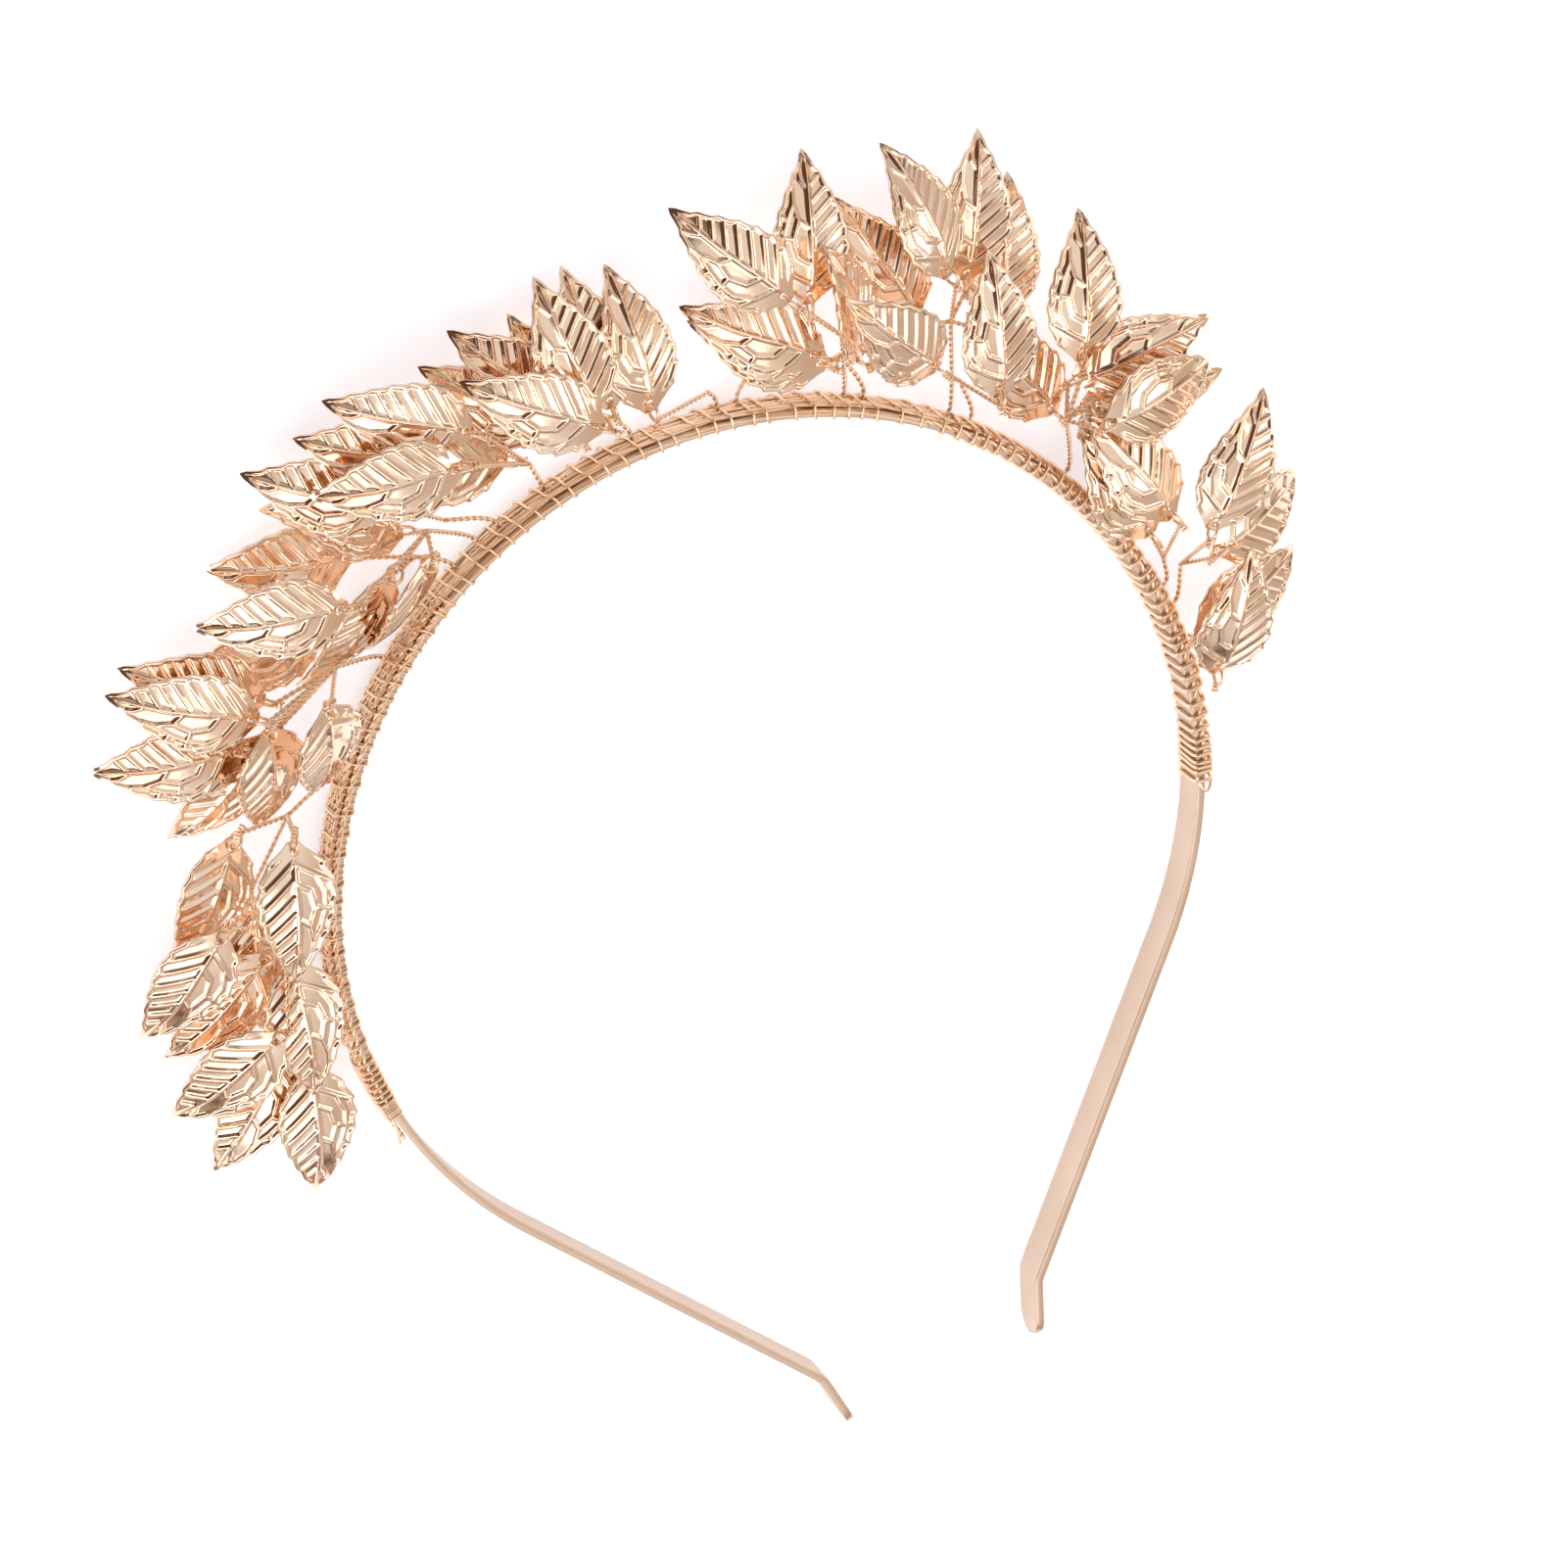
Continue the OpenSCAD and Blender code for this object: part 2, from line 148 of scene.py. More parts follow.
# each leaf: azimuth, radius and height of its base; turn of its tip from straight
# outward, pitch of its tip and roll, degrees; number of its stem
LEAVES = {
    "a": [[-64, 78, 7, 75, -10, -15, 0], [-62.5, 71.5, 13, 100, -4, 0, 0],
          [-72, 80.5, 12, 60, -22, 0, 2], [-76.5, 73.5, 7.5, 45, -16, 0, 2],
          [-71.5, 73.5, 3.5, 97, -4, 0, 0], [-77.5, 69.5, 9, 93, -4, 0, 2],
          [-84, 74.5, 11.5, 33, -25, 0, 2], [-89, 72.5, 4, 45, -10, 15, 1],
          [-91.5, 70, 6.5, 75, -13, 0, 1]],
    "b": [[-50, 82, 12, 10, -12, 0, 0], [-54, 81.5, 9.5, 22, -8, 0, 0],
          [-53, 77, 7, 70, -18, -15, 0], [-49, 80, 7, 5, -5, 0, 0],
          [-46.5, 74, 16.5, 120, -38, -25, 0], [-51, 79, 13.3, 115, -32, -20, 0]],
    "c": [[-33.5, 77, 2.8, 38, -3, 0, 1], [-37, 79, 14.5, 40, -11, 0, 0],
          [-29, 71.5, 12, 113, -37, -50, 0], [-32.5, 72.5, 8, 93, -14.5, -38, 0],
          [-41, 75, 2.6, 48, -1, 0, 1], [-28, 74.5, 4.2, 30, 0, 42, 0]],
    "d": [[-27, 80.5, 9, 30, -13, 0, 1], [-20.5, 80.5, 10.5, 40, -9, 0, 0],
          [-17, 82, 12.5, 40, -10, 0, 0], [-20, 80, 15, 60, -8, 0, 0],
          [-15.5, 71, 3.5, 56, -4, -15, 0]],
    "e": [[1, 70.5, 9.7, -2, -15, 12, 1], [-2.5, 72, 7, -2, -8, 0, 0],
          [-5.5, 74.5, 12, -2, -9, 0, 0], [-7, 74.5, 8.5, 30, -12, 0, 0],
          [-9.5, 73, 6.5, 35, -8, 0, 0], [-6, 73, 14.4, 45, -10, 0, 0],
          [-6.5, 68.5, 2.5, 5, 0, 0, 0]],
    "f": [[15.5, 81.5, 13, 48, -15, 0, 2], [19, 80, 9.5, 0, -14, 0, 2],
          [20, 71.5, 8.5, 70, -12, 0, 0], [22, 69, 5, 73, -8, 0, 0],
          [25.5, 72, 9.2, 33, 14, 40, 0]],
    "g": [[35, 84, 7.3, 12, -5, -5, 1], [40, 79, 5, 15, -7, 0, 1],
          [41, 71, 12.5, 28, -5, 0, 0], [31.5, 85, 12, 40, -12, 25, 1],
          [31, 77.5, 6.5, 47, -8, 0, 1], [32.5, 72, 13, 65, 12, 0, 0]],
    "h": [[49, 79.5, 9, 29, -14, 0, 0], [51.5, 76.5, 6.5, -34, 3, -8, 0],
          [55.5, 73.5, 3.5, -41, 3, 0, 0], [54, 74, 14.5, -36, -22, 0, 0],
          [68, 70, 11, 90, -8, 12, 1], [69.5, 66.5, 7.8, 86, 2, 0, 1],
          [54.3, 74, 8.5, -97, -24, 40, 0], [52, 70.5, 2.5, 75, -1, 0, 0]],
    "i": [[71, 73.5, 15, 30, -8, 0, 0], [75.5, 73, 11.5, -9, -32, 0, 0],
          [84.5, 66, 9, 5, -20, 0, 1], [89.5, 66, 10, 65, 12, 0, 2]],
}


def outward(azimuth):
    """The level direction at an azimuth."""
    turn = math.radians(azimuth)
    return np.array([math.sin(turn), math.cos(turn), 0.0])


def polar(azimuth, radius, height):
    """A point at an azimuth, a distance from the middle of the arch and a height."""
    return radius * outward(azimuth) + np.array([0, 0, height])


def band_point(azimuth, offset, height):
    """A point outside the band's inner face by the offset, on the bound stretch."""
    if abs(azimuth) <= ARCH_SWEEP:
        return polar(azimuth, ARCH_RADIUS + offset, height)
    shoulder = (ARCH_RADIUS - SHOULDER_RADIUS) * outward(math.copysign(ARCH_SWEEP, azimuth))
    return shoulder + polar(azimuth, SHOULDER_RADIUS + offset, height)


class Soup:
    """Vertices and faces of one piece, gathered in millimetres about the arch."""

    def __init__(self):
        self.points, self.faces, self.count = [], [], 0

    def add(self, points, faces):
        self.points.append(np.asarray(points, float))
        self.faces.extend([[i + self.count for i in face] for face in faces])
        self.count += len(points)

    def piece(self, name, material, node):
        """The finished object, riding on the crown and standing for its node."""
        points = (np.vstack(self.points) + np.array([ARCH_X, ARCH_Y, 0])) * MM
        mesh = bpy.data.meshes.new(name)
        mesh.from_pydata(points.tolist(), [], self.faces)
        mesh.validate()
        mesh.shade_smooth()
        mesh.materials.append(material)
        thing = bpy.data.objects.new(name, mesh)
        bpy.context.scene.collection.objects.link(thing)
        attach(thing, "root")
        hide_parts(node)


def sides_along(path):
    """Two side directions at each point of a path, turned as little as can be."""
    tangent = np.gradient(path, axis=0)
    tangent /= np.linalg.norm(tangent, axis=1)[:, None]
    start = np.cross(tangent[0], [0.0, 0.0, 1.0])
    nearly_upright = 0.1
    if np.linalg.norm(start) < nearly_upright:
        start = np.cross(tangent[0], [1.0, 0.0, 0.0])
    sides = [start / np.linalg.norm(start)]
    for onward in tangent[1:]:
        side = sides[-1] - (sides[-1] @ onward) * onward
        sides.append(side / np.linalg.norm(side))
    sides = np.array(sides)
    return sides, np.cross(tangent, sides)


def tube(soup, path, radius, sides, closed=False):
    """A round wire along a path, capped at its ends unless it is closed."""
    path = np.asarray(path, float)
    if closed:
        path = np.vstack([path, path[:1]])
    one, two = sides_along(path)
    if closed:
        path, one, two = path[:-1], one[:-1], two[:-1]
    turn = np.arange(sides) * 2 * math.pi / sides
    rings = (path[:, None, :]
             + radius * np.cos(turn)[None, :, None] * one[:, None, :]
             + radius * np.sin(turn)[None, :, None] * two[:, None, :])
    count = len(path)
    faces = []
    for i in range(count if closed else count - 1):
        here, there = i * sides, ((i + 1) % count) * sides
        for j in range(sides):
            k = (j + 1) % sides
            faces.append([here + j, here + k, there + k, there + j])
    if not closed:
        faces.append(list(range(sides))[::-1])
        faces.append([(count - 1) * sides + j for j in range(sides)])
    soup.add(rings.reshape(-1, 3), faces)


def resampled(path, step):
    """The same path in equal steps, with the distance run at each point."""
    run = np.concatenate([[0], np.cumsum(np.linalg.norm(np.diff(path, axis=0), axis=1))])
    count = max(int(run[-1] / step), 3)
    at = np.linspace(0, run[-1], count + 1)
    return np.stack([np.interp(at, run, path[:, i]) for i in range(3)], 1), at


def rounded(path):
    """The path with its corners cut twice, a quarter of each side at a time, and its
    ends kept."""
    path = np.asarray(path, float)
    for _ in range(2):
        near = 0.75 * path[:-1] + 0.25 * path[1:]
        far = 0.25 * path[:-1] + 0.75 * path[1:]
        middle = np.stack([near, far], 1).reshape(-1, 3)
        path = np.vstack([path[:1], middle, path[-1:]])
    return path


def twisted(soup, path, pitch=STEM_PITCH, radius=STRAND_RADIUS, spread=STRAND_RADIUS,
            phase=0.0, step=STEM_STEP):
    """Two strands twisted round each other along a path."""
    path, at = resampled(rounded(path), step)
    one, two = sides_along(path)
    for k in range(2):
        turn = phase + 2 * math.pi * at / pitch + k * math.pi
        strand = (path + spread * np.cos(turn)[:, None] * one
                  + spread * np.sin(turn)[:, None] * two)
        tube(soup, strand, radius, THIN_SIDES)


def placed(row):
    """Turn and place that carry a leaf drawn along +Y with its hole at the origin."""
    azimuth, radius, height, turn, pitch, roll, _ = row
    matrix = (Matrix.Rotation(math.radians(turn - azimuth), 3, "Z")
              @ Matrix.Rotation(math.radians(pitch), 3, "X")
              @ Matrix.Rotation(math.radians(roll), 3, "Y"))
    return np.array(matrix), polar(azimuth, radius, height)


def on_leaf(row, along):
    """A point on a leaf's own long axis, so far from its hole."""
    azimuth, radius, height, turn, tip_pitch, _, _ = row
    heading, pitch = math.radians(turn - azimuth), math.radians(tip_pitch)
    return polar(azimuth, radius, height) + along * np.array([
        -math.sin(heading) * math.cos(pitch),
        math.cos(heading) * math.cos(pitch),
        math.sin(pitch)])


def smooth_step(value, low, high):
    """0 below low, 1 above high and a smooth rise between them."""
    share = np.clip((value - low) / (high - low), 0, 1)
    return share * share * (3 - 2 * share)


def rim_width(share):
    """Half the leaf's width at a share of its length, teeth included."""
    stations, halves = [0.0], [BASE_HALF]
    for tooth in range(TEETH):
        for end in (0, 1):
            at = (tooth + TOOTH_START + TOOTH_RUN * end) / (TEETH + TOOTH_REST)
            plain = LEAF_WIDTH / 2 * math.sin(math.pi * at ** WIDEST_POWER)
            stations.append(at)
            halves.append(plain + TOOTH_DEPTH * (end - 0.5) * (1 - TOOTH_FADE * at))
    stations.append(1.0)
    halves.append(TIP_HALF)
    return np.interp(share, stations, halves)


def distance_to(x, y, line):
    """Distance from each point to a bent line."""
    line = np.asarray(line, float)
    best = np.full(x.shape, np.inf)
    for start, end in zip(line[:-1], line[1:]):
        run = end - start
        share = ((x - start[0]) * run[0] + (y - start[1]) * run[1]) / (run @ run)
        share = np.clip(share, 0, 1)
        away = np.hypot(x - start[0] - share * run[0], y - start[1] - share * run[1])
        best = np.minimum(best, away)
    return best


def ridge(gap):
    """Height of a rounded ridge at a distance from its middle line, 1 on the line."""
    return 0.5 + 0.5 * np.cos(math.pi * np.clip(gap / RIDGE_HALF, 0, 1))


def relief(x, y, share, across):
    """Height of the pressed pattern over the plain domed leaf."""
    body = (1 - smooth_step(share, *TIP_FADE)) * smooth_step(share, *BASE_RISE)
    half = rim_width(share)
    midrib_x = MIDRIB_SWAY * np.sin(MIDRIB_WAVES * math.pi * share) * (1 - share)
    side = x - midrib_x
    midrib = np.exp(-(side / MIDRIB_HALF) ** 2) * body
    # right half: slanting ridges with flat cells between them
    phase = (y - side * BAR_SLOPE) / BAR_PITCH
    to_bar = np.abs(phase - np.floor(phase) - 0.5) * BAR_PITCH * math.cos(math.atan(BAR_SLOPE))
    # left half: a net of ridges round flat cells
    to_net = np.full(x.shape, np.inf)
    for line in LEFT_NET:
        points = [[-u * float(rim_width(v)), v * LEAF_LENGTH - HOLE_SETBACK] for u, v in line]
        to_net = np.minimum(to_net, distance_to(x, y, points))
    net = NET_SHARE * ridge(np.where(side > 0, to_bar, to_net)) * smooth_step(half, *NET_RISE)
    to_rim = (1 - np.abs(across)) * half
    rim = ridge(np.maximum(to_rim - RIM_TOP, 0) * RIM_SLOPE)
    raised = np.maximum.reduce([net, rim, midrib * MIDRIB_SHARE])
    return RELIEF_HEIGHT * raised * body - CELL_DEPTH


def kept_quads(points, rows, columns):
    """Quads of a grid of points, without those over the hole."""
    quads = []
    for i in range(rows):
        for j in range(columns):
            first = i * (columns + 1) + j
            quad = [first, first + 1, first + columns + 2, first + columns + 1]
            middle = points[quad].mean(0)
            if math.hypot(middle[0], middle[1]) > HOLE_RADIUS * HOLE_CLEAR:
                quads.append(quad)
    return quads


def hole_rim(points, quads):
    """The points round the hole, in order of their direction from its middle."""
    single = set()
    for quad in quads:
        for a, b in zip(quad, quad[1:] + quad[:1]):
            if (b, a) in single:
                single.remove((b, a))
            else:
                single.add((a, b))
    around = {a for a, _ in single if math.hypot(points[a][0], points[a][1]) < RIM_REACH}
    return sorted(around, key=lambda a: math.atan2(points[a][1], points[a][0]))


def pierced(x, y, z, reach):
    """Points of a grid as rows, those near the hole drawn onto its rim."""
    away = np.hypot(x, y)
    pull = np.where(away < reach, HOLE_RADIUS / np.maximum(away, HOLE_CORE), 1.0)
    return np.stack([x * pull, y * pull, z], 2).reshape(-1, 3)


def leaf_template():
    """Points and faces of one stamped leaf: domed, toothed, pressed and pierced."""
    span = LEAF_LENGTH - HOLE_SETBACK
    drop = math.sqrt(DOME_RADIUS ** 2 - span ** 2 / 4)
    share, across = np.meshgrid(np.linspace(0, 1, ALONG + 1),
                                np.linspace(-1, 1, ACROSS + 1), indexing="ij")
    x = across * rim_width(share)
    y = share * LEAF_LENGTH - HOLE_SETBACK
    dome = np.sqrt(DOME_RADIUS ** 2 - x ** 2 - (y - span / 2) ** 2) - drop
    top = pierced(x, y, dome + relief(x, y, share, across), FINE_REACH)
    rough = (slice(None, None, COARSE), slice(None, None, COARSE))
    under = pierced(x[rough], y[rough], dome[rough] - LEAF_THICKNESS, COARSE_REACH)
    rows, columns = ALONG // COARSE, ACROSS // COARSE
    top_quads = kept_quads(top, ALONG, ACROSS)
    under_quads = kept_quads(under, rows, columns)
    shift = len(top)
    faces = top_quads + [[i + shift for i in quad[::-1]] for quad in under_quads]

    def edge_face(fine, coarse, turned):
        """One face of the cut edge: grid places on the top joined to those below."""
        face = [i * (ACROSS + 1) + j for i, j in fine]
        face += [shift + i * (columns + 1) + j for i, j in coarse[::-1]]
        faces.append(face[::-1] if turned else face)

    # the cut edge all round: one face to each coarse step
    for i in range(rows):
        for j, turned in ((0, False), (columns, True)):
            fine = [(i * COARSE + k, j * COARSE) for k in range(COARSE + 1)]
            edge_face(fine, [(i, j), (i + 1, j)], turned)
    for j in range(columns):
        for i, turned in ((0, True), (rows, False)):
            fine = [(i * COARSE, j * COARSE + k) for k in range(COARSE + 1)]
            edge_face(fine, [(i, j), (i, j + 1)], turned)
    # the wall of the hole: each fine edge joined to the nearest coarse points
    upper = hole_rim(top, top_quads)
    lower = [a + shift for a in hole_rim(under, under_quads)]
    both = np.vstack([top, under])
    nearest = [min(lower, key=lambda b: np.hypot(*(both[b] - both[a])[:2])) for a in upper]
    for k, a in enumerate(upper):
        following = (k + 1) % len(upper)
        face = [a, upper[following], nearest[following]]
        if nearest[k] != nearest[following]:
            face.append(nearest[k])
        faces.append(face)
    return both, faces


# stations of half the band: on each bend in turn and along an ear end
ARCH_STATIONS, SHOULDER_STATIONS, HIP_STATIONS, KINK_STATIONS = 60, 36, 12, 12
EAR_STATIONS = 20
# points on each rounded edge of the band
EDGE_POINTS = 5


def band_stations():
    """Inner face of half the band, from the top of the arch to one ear end: points
    with the azimuth that the face looks away from."""
    hip_start = ARCH_SWEEP + SHOULDER_SWEEP
    leg_heading = hip_start + HIP_SWEEP
    ear_heading = leg_heading - KINK_ANGLE

    def onward(azimuth):
        return outward(azimuth + 90)

    def bend(middle, radius, start, end, count):
        return [(middle + radius * outward(v), v) for v in np.linspace(start, end, count)]

    shoulder = (ARCH_RADIUS - SHOULDER_RADIUS) * outward(ARCH_SWEEP)
    hip = shoulder + (SHOULDER_RADIUS - HIP_RADIUS) * outward(hip_start)
    leg_end = hip + HIP_RADIUS * outward(leg_heading) + LEG_LENGTH * onward(leg_heading)
    kink = leg_end + KINK_RADIUS * outward(leg_heading)
    ear = kink - KINK_RADIUS * outward(ear_heading)
    stations = (bend(np.zeros(3), ARCH_RADIUS, 0, ARCH_SWEEP, ARCH_STATIONS)
                + bend(shoulder, SHOULDER_RADIUS, ARCH_SWEEP, hip_start, SHOULDER_STATIONS)[1:]
                + bend(hip, HIP_RADIUS, hip_start, leg_heading, HIP_STATIONS)[1:]
                + bend(kink, -KINK_RADIUS, leg_heading, ear_heading, KINK_STATIONS))
    steps = np.linspace(0, EAR_LENGTH, EAR_STATIONS)[1:]
    return stations + [(ear + step * onward(ear_heading), ear_heading) for step in steps]


def band_profile(low, high):
    """The band's cross-section with rounded edges: offset outward and height."""
    points = []
    inner, outer = BAND_EDGE, BAND_THICKNESS - BAND_EDGE
    corners = [(inner, low + BAND_EDGE, 180), (outer, low + BAND_EDGE, 270),
               (outer, high - BAND_EDGE, 0), (inner, high - BAND_EDGE, 90)]
    for offset, height, start in corners:
        for turn in np.radians(np.linspace(start, start + 90, EDGE_POINTS)):
            points.append((offset + BAND_EDGE * math.cos(turn),
                           height + BAND_EDGE * math.sin(turn)))
    return points


def make_band(material):
    """The flat strip of the band with its round ear ends."""
    soup = Soup()
    half = band_stations()
    both = [(point * [-1, 1, 1], -azimuth) for point, azimuth in half[::-1]] + half[1:]
    count = len(both)
    run = np.concatenate([[0], np.cumsum([np.linalg.norm(both[i + 1][0] - both[i][0])
                                          for i in range(count - 1)])])
    reach = BAND_WIDTH / 2
    rings = []
    for (point, azimuth), at in zip(both, run):
        half_height = reach
        # the ear ends are round
        end = min(at, run[-1] - at)
        if end < reach:
            half_height = max(math.sqrt(reach ** 2 - (reach - end) ** 2), EAR_TIP_HALF)
        for offset, height in band_profile(BAND_MIDDLE - half_height,
                                           BAND_MIDDLE + half_height):
            rings.append(point + offset * outward(azimuth) + [0, 0, height])
    sides = len(band_profile(0, BAND_WIDTH))
    faces = []
    for i in range(count - 1):
        for j in range(sides):
            k = (j + 1) % sides
            faces.append([i * sides + j, (i + 1) * sides + j,
                          (i + 1) * sides + k, i * sides + k])
    faces.append(list(range(sides)))
    faces.append([(count - 1) * sides + j for j in range(sides)][::-1])
    soup.add(rings, faces)
    soup.piece("band_strip", material, "band")


# turns of the binding wire: how far they stand inside the band, how far out their outer
# side lies, and how far they clear the table and the band's top edge
WRAP_INSIDE, WRAP_OUTSIDE = 0.12, 2.14
WRAP_BELOW, WRAP_ABOVE = 0.01, 0.3
# powers that round the corners of a turn: its lower outer corner is rounder than the rest
TIGHT_CORNER, ROUND_CORNER = 0.42, 0.9
# points in a turn; then least and greatest share of a turn's own step and of how far it
# stands out, and the greatest lean of a turn as a share of its step
TURN_POINTS = 26
STEP_SHARES, STAND_SHARES = (0.65, 1.35), (-0.2, 1.0)
LEAN = 0.12
# azimuth past the binding's left end at which the wire starts
WRAP_START = 0.4
# stretches of the binding wire: azimuth at which each ends, step of a turn in degrees,
# radius of the wire and how far its turns stand out
WRAPS = [[-100.6, 0.36, 0.16, 0.0], [-95, 0.95, 0.24, 0.1], [-40, 2.6, 0.18, 0.25],
         [38, 2.5, 0.19, 0.25], [99, 1.75, 0.29, 0.15],
         [BINDING_RIGHT - 0.6, 0.92, 0.28, 0.1]]
# a finer wire wound closer and deeper on the left: its first azimuth, then as above
FINE_WRAP = [-95, -30, 0.95, 0.09, -0.6]
SEED = 7

# twisted pairs along the outer face: height and offset of each, and how far they sway in
# offset and height, with the waves in radians a degree
FACE_PAIRS = ((1.5, 1.45), (2.4, 1.6), (4.5, 1.6), (5.6, 1.6))
SWAY_OUT, SWAY_UP, WAVES_OUT, WAVES_UP = 0.05, 0.1, 0.31, 0.23
# radians by which the twist of each of these pairs differs from that of the last
FACE_SHIFT = 1.7
# stretches of a pair: first and last azimuth and pitch; closely twisted on the left and
# nearly straight over the top
FACE_STRETCHES = ((-101.5, -30, 3.4), (-31, 106, 24.0))
# a pair behind the stems' tails: first and last azimuth, offset and pitch
MIDDLE_PAIR = (-100, 104, 1.45, 30.0)
# pairs along the top edge, laid the same way, and their height over it
EDGE_PAIRS = ((-101, -31, 1.15, 3.0), (-32, 37, 0.75, 30.0), (36, 105, 0.95, 3.0))
EDGE_LIFT = 0.2
# radius of a strand on the face and on the edge, and its distance from the pair's middle
FACE_RADIUS, FACE_SPREAD, MIDDLE_SPREAD = 0.29, 0.22, 0.26
EDGE_RADIUS, EDGE_SPREAD = 0.22, 0.2
# step along a pair on the face, in the middle and on the edge, and the step in azimuth of
# the line that each follows
FACE_STEP, MIDDLE_STEP, EDGE_STEP = 0.38, 0.5, 0.34
AZIMUTH_STEP = 0.5

# the free end of the wire at the left collar: azimuths from the binding's end, offset and
# how fast it curls outward, height and how fast it rises, and radius
LOOSE_END = (1.0, 0, -1, -2.2, -3.4)
LOOSE_OFFSET, LOOSE_CURL = 1.5, 0.1
LOOSE_HEIGHT, LOOSE_RISE = 5.2, 0.25
LOOSE_RADIUS = 0.22
# the hook at the right end: azimuth past the binding's end, offset and height, and radius
HOOK = ((-1.5, -0.2, 6.6), (-0.3, 0.2, 6.9), (0.6, 0.9, 6.9), (0.5, 1.7, 6.7),
        (-0.6, 2.1, 6.2))
HOOK_RADIUS = 0.24


def wrap_contour(share, radius, stand):
    """Offset and height of the binding wire at a share of one turn round the band."""
    inner, outer = -WRAP_INSIDE - radius, WRAP_OUTSIDE + stand
    low, high = radius + WRAP_BELOW, BAND_TOP + radius + WRAP_ABOVE
    out, up = math.cos(2 * math.pi * share), math.sin(2 * math.pi * share)
    # a box with rounded corners, walked by angle
    corner = ROUND_CORNER if out > 0 and up < 0 else TIGHT_CORNER
    x = math.copysign(abs(out) ** corner, out)
    y = math.copysign(abs(up) ** corner, up)
    return ((inner + outer) / 2 + x * (outer - inner) / 2,
            (low + high) / 2 + y * (high - low) / 2)


def wind(soup, rng, azimuth, end, step, radius, stand):
    """Wind a wire round the band from one azimuth to another; return where it ends."""
    path = []
    while azimuth < end:
        advance = step * rng.uniform(*STEP_SHARES)
        out = stand * rng.uniform(*STAND_SHARES)
        lean = rng.uniform(-LEAN, LEAN)
        for k in range(TURN_POINTS):
            share = k / TURN_POINTS
            drift = share + lean * math.sin(2 * math.pi * share)
            path.append(band_point(azimuth + advance * drift,
                                   *wrap_contour(share, radius, out)))
        azimuth += advance
    tube(soup, path, radius, THIN_SIDES)
    return azimuth


def along_band(first, last, place):
    """A path along the band, with the offset and height that place gives by azimuth."""
    return [band_point(azimuth, *place(azimuth))
            for azimuth in np.arange(first, last, AZIMUTH_STEP)]


def lay_strands(soup):
    """The twisted pairs of strands that run along the band under the turns."""
    for number, (height, offset) in enumerate(FACE_PAIRS):

        def swaying(azimuth):
            return (offset + SWAY_OUT * math.sin(azimuth * WAVES_OUT + height),
                    height + SWAY_UP * math.sin(azimuth * WAVES_UP + 2 * height))

        for first, last, pitch in FACE_STRETCHES:
            twisted(soup, along_band(first, last, swaying), pitch, FACE_RADIUS, FACE_SPREAD,
                    phase=number * FACE_SHIFT, step=FACE_STEP)
    first, last, offset, pitch = MIDDLE_PAIR
    middle = along_band(first, last, lambda azimuth: (offset, BAND_MIDDLE))
    twisted(soup, middle, pitch, FACE_RADIUS, MIDDLE_SPREAD, step=MIDDLE_STEP)
    for first, last, offset, pitch in EDGE_PAIRS:
        edge = along_band(first, last, lambda azimuth: (offset, BAND_TOP + EDGE_LIFT))
        twisted(soup, edge, pitch, EDGE_RADIUS, EDGE_SPREAD, step=EDGE_STEP)


def make_binding(material):
    """The wound wire, the strands under it, its free end and its hook."""
    soup = Soup()
    rng = np.random.default_rng(SEED)
    azimuth = -BINDING_LEFT + WRAP_START
    for stretch in WRAPS:
        azimuth = wind(soup, rng, azimuth, *stretch)
    wind(soup, rng, *FINE_WRAP)
    lay_strands(soup)
    loose = [band_point(-BINDING_LEFT + v, LOOSE_OFFSET + LOOSE_CURL * v * v,
                        LOOSE_HEIGHT - LOOSE_RISE * v) for v in LOOSE_END]
    tube(soup, rounded(loose), LOOSE_RADIUS, THICK_SIDES)
    hook = [band_point(BINDING_RIGHT + v, offset, height) for v, offset, height in HOOK]
    tube(soup, rounded(hook), HOOK_RADIUS, THICK_SIDES)
    soup.piece("binding_wire", material, "binding")


def make_stems(letter, material):
    """One spray's stems, with a loop through the hole of each of its leaves."""
    soup = Soup()
    rows = STEMS[letter]
    for number, (root, tail, azimuth, radius, height) in enumerate(rows):
        path = [band_point(v, TAIL_OFFSET, BAND_MIDDLE)
                for v in np.linspace(tail, root, TAIL_POINTS)]
        path += [band_point(root, TAIL_OFFSET, BAND_MIDDLE),
                 band_point(root, TAIL_OFFSET + STEM_RISE, BAND_MIDDLE),
                 polar(azimuth, radius, height)]
        twisted(soup, path, phase=number)
    full_turn = 2 * math.pi
    for number, row in enumerate(LEAVES[letter]):
        fork = polar(*rows[row[-1]][2:])
        twisted(soup, [fork, on_leaf(row, -2 * LOOP_RADIUS)], phase=number * TWIST_SHIFT)
        turn, place = placed(row)
        ring = [[0, -LOOP_RADIUS + LOOP_RADIUS * math.cos(v), LOOP_RADIUS * math.sin(v)]
                for v in np.linspace(0, full_turn, LOOP_POINTS + 1)[:-1]]
        tube(soup, np.array(ring) @ turn.T + place, LOOP_WIRE, THICK_SIDES, closed=True)
        back = -2.0 * LOOP_RADIUS + CLOSING_START
        turns = [[CLOSING_RADIUS * math.cos(v), back - CLOSING_RUN * v,
                  CLOSING_RADIUS * math.sin(v)]
                 for v in np.linspace(0, CLOSING_TURNS * full_turn, CLOSING_POINTS)]
        tube(soup, np.array(turns) @ turn.T + place, CLOSING_WIRE, THIN_SIDES)
    soup.piece("wires_" + letter, material, "stem_" + letter)


